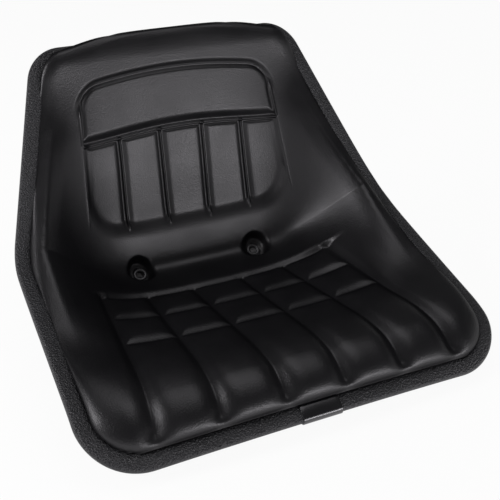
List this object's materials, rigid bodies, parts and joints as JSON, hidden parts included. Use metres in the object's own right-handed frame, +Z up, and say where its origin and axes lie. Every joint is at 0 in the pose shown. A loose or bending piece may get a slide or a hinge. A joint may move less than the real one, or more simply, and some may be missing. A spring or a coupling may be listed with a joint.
{
  "type": "bucket seat",
  "caption": "Bucket seat for a garden tractor: quilted vinyl cushion on a pressed steel pan, with a clip-on edge trim, drain eyelets and captive fixing nuts.",
  "frame": {"origin": "middle of the four fixing holes, on the flat underside of the pan", "axes": "+X across the seat, +Y from the front edge to the back, +Z up, square to the underside"},
  "size_m": [0.488, 0.4455, 0.3095],
  "materials": {
    "pan_paint": "satin black paint",
    "cushion_vinyl": "satin black grained vinyl",
    "trim_plastic": "pebble-grained black plastic",
    "sleeve_plastic": "smooth black plastic",
    "eyelet_paint": "black coated metal",
    "nut_steel": "bright plated steel"
  },
  "bodies": {
    "root": {"seat_pan": "pan_paint", "seat_cushion": "cushion_vinyl", "edge_trim": "trim_plastic", "trim_joint_sleeve": "sleeve_plastic", "left_drain_eyelet": "eyelet_paint", "right_drain_eyelet": "eyelet_paint", "left_eyelet_washer": "eyelet_paint", "right_eyelet_washer": "eyelet_paint", "weld_nuts": "nut_steel"}
  },
  "joints": []
}
